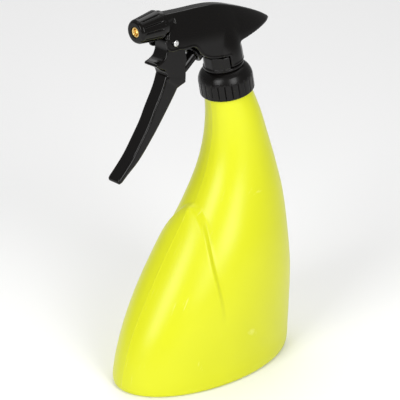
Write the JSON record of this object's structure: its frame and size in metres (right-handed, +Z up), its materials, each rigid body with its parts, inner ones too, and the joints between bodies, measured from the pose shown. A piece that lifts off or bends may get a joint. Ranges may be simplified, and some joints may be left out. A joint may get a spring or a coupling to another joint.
{
  "type": "hand mister",
  "caption": "Trigger sprayer with a leaning bottle, ribbed closure, hooded pump head, pivoting lever trigger and a turning nozzle cap.",
  "frame": {"origin": "centre of the bottle's flat base, on the surface it stands on", "axes": "+Z up, -X the way it sprays, the object is mirrored across the XZ plane"},
  "size_m": [0.158, 0.0876, 0.2706],
  "materials": {
    "bottle_plastic": "satin blow-moulded polyethylene, lime yellow",
    "black_plastic": "glossy injection-moulded polypropylene, black",
    "brass": "turned brass",
    "steel": "bright stainless steel",
    "natural_plastic": "milky natural polyethylene",
    "rubber": "matt black rubber"
  },
  "bodies": {
    "bottle": {"bottle": "bottle_plastic"},
    "closure": {"collar": "black_plastic"},
    "pump_head": {"neck_gasket": "rubber", "pump_body": "black_plastic", "shroud": "black_plastic", "inlet_seat": "natural_plastic", "dip_tube": "natural_plastic", "tube_strainer": "natural_plastic", "outlet_seat": "natural_plastic", "outlet_spring": "steel", "outlet_cap": "black_plastic", "discharge_tube": "natural_plastic", "nozzle_barrel": "black_plastic", "swirl_core": "natural_plastic", "trigger_pin": "steel", "return_spring": "steel"},
    "trigger_lever": {"trigger": "black_plastic"},
    "plunger": {"piston": "black_plastic", "piston_seal": "rubber"},
    "nozzle_carrier": {"nozzle_seal": "rubber"},
    "nozzle_knob": {"nozzle_cap": "black_plastic", "nozzle_insert": "brass"},
    "inlet_check": {"inlet_ball": "steel"},
    "outlet_check": {"outlet_ball": "steel"}
  },
  "joints": [
    {"name": "head_lift_off", "type": "slide", "parent": "bottle", "child": "pump_head", "axis": [-0.2028, 0, 0.9792], "range_m": [0, 0.24]},
    {"name": "collar_turn", "type": "hinge", "parent": "pump_head", "child": "closure", "pos_m": [0.024, 0, 0.2007], "axis": [-0.2028, 0, 0.9792], "range_deg": [0, 540]},
    {"name": "trigger_pull", "type": "hinge", "parent": "pump_head", "child": "trigger_lever", "pos_m": [-0.03269, 0, 0.2486], "axis": [0, -1, 0], "range_deg": [0, 20], "stiffness_Nm_per_rad": 0.3, "springref_deg": -8.59},
    {"name": "piston_stroke", "type": "slide", "parent": "pump_head", "child": "plunger", "axis": [0.7804, 0, 0.6252], "range_m": [0, 0.0096], "deforming": ["return_spring"]},
    {"name": "nozzle_turn", "type": "hinge", "parent": "nozzle_carrier", "child": "nozzle_knob", "pos_m": [-0.04044, 0, 0.26037], "axis": [-0.998, 0, -0.0628], "range_deg": [0, 360]},
    {"name": "nozzle_advance", "type": "slide", "parent": "pump_head", "child": "nozzle_carrier", "axis": [-0.998, 0, -0.0628], "range_m": [0, 0.0025]},
    {"name": "inlet_ball_lift", "type": "slide", "parent": "pump_head", "child": "inlet_check", "axis": [-0.2028, 0, 0.9792], "range_m": [0, 0.0022]},
    {"name": "outlet_ball_lift", "type": "slide", "parent": "pump_head", "child": "outlet_check", "axis": [-0.2028, 0, 0.9792], "range_m": [0, 0.0012], "stiffness_N_per_m": 5, "springref_m": -0.001}
  ],
  "couplings": [
    {"joint": "piston_stroke", "follows": "trigger_pull", "m_per_rad": 0.0272},
    {"joint": "nozzle_turn", "follows": "nozzle_advance", "rad_per_m": 2513.3}
  ]
}
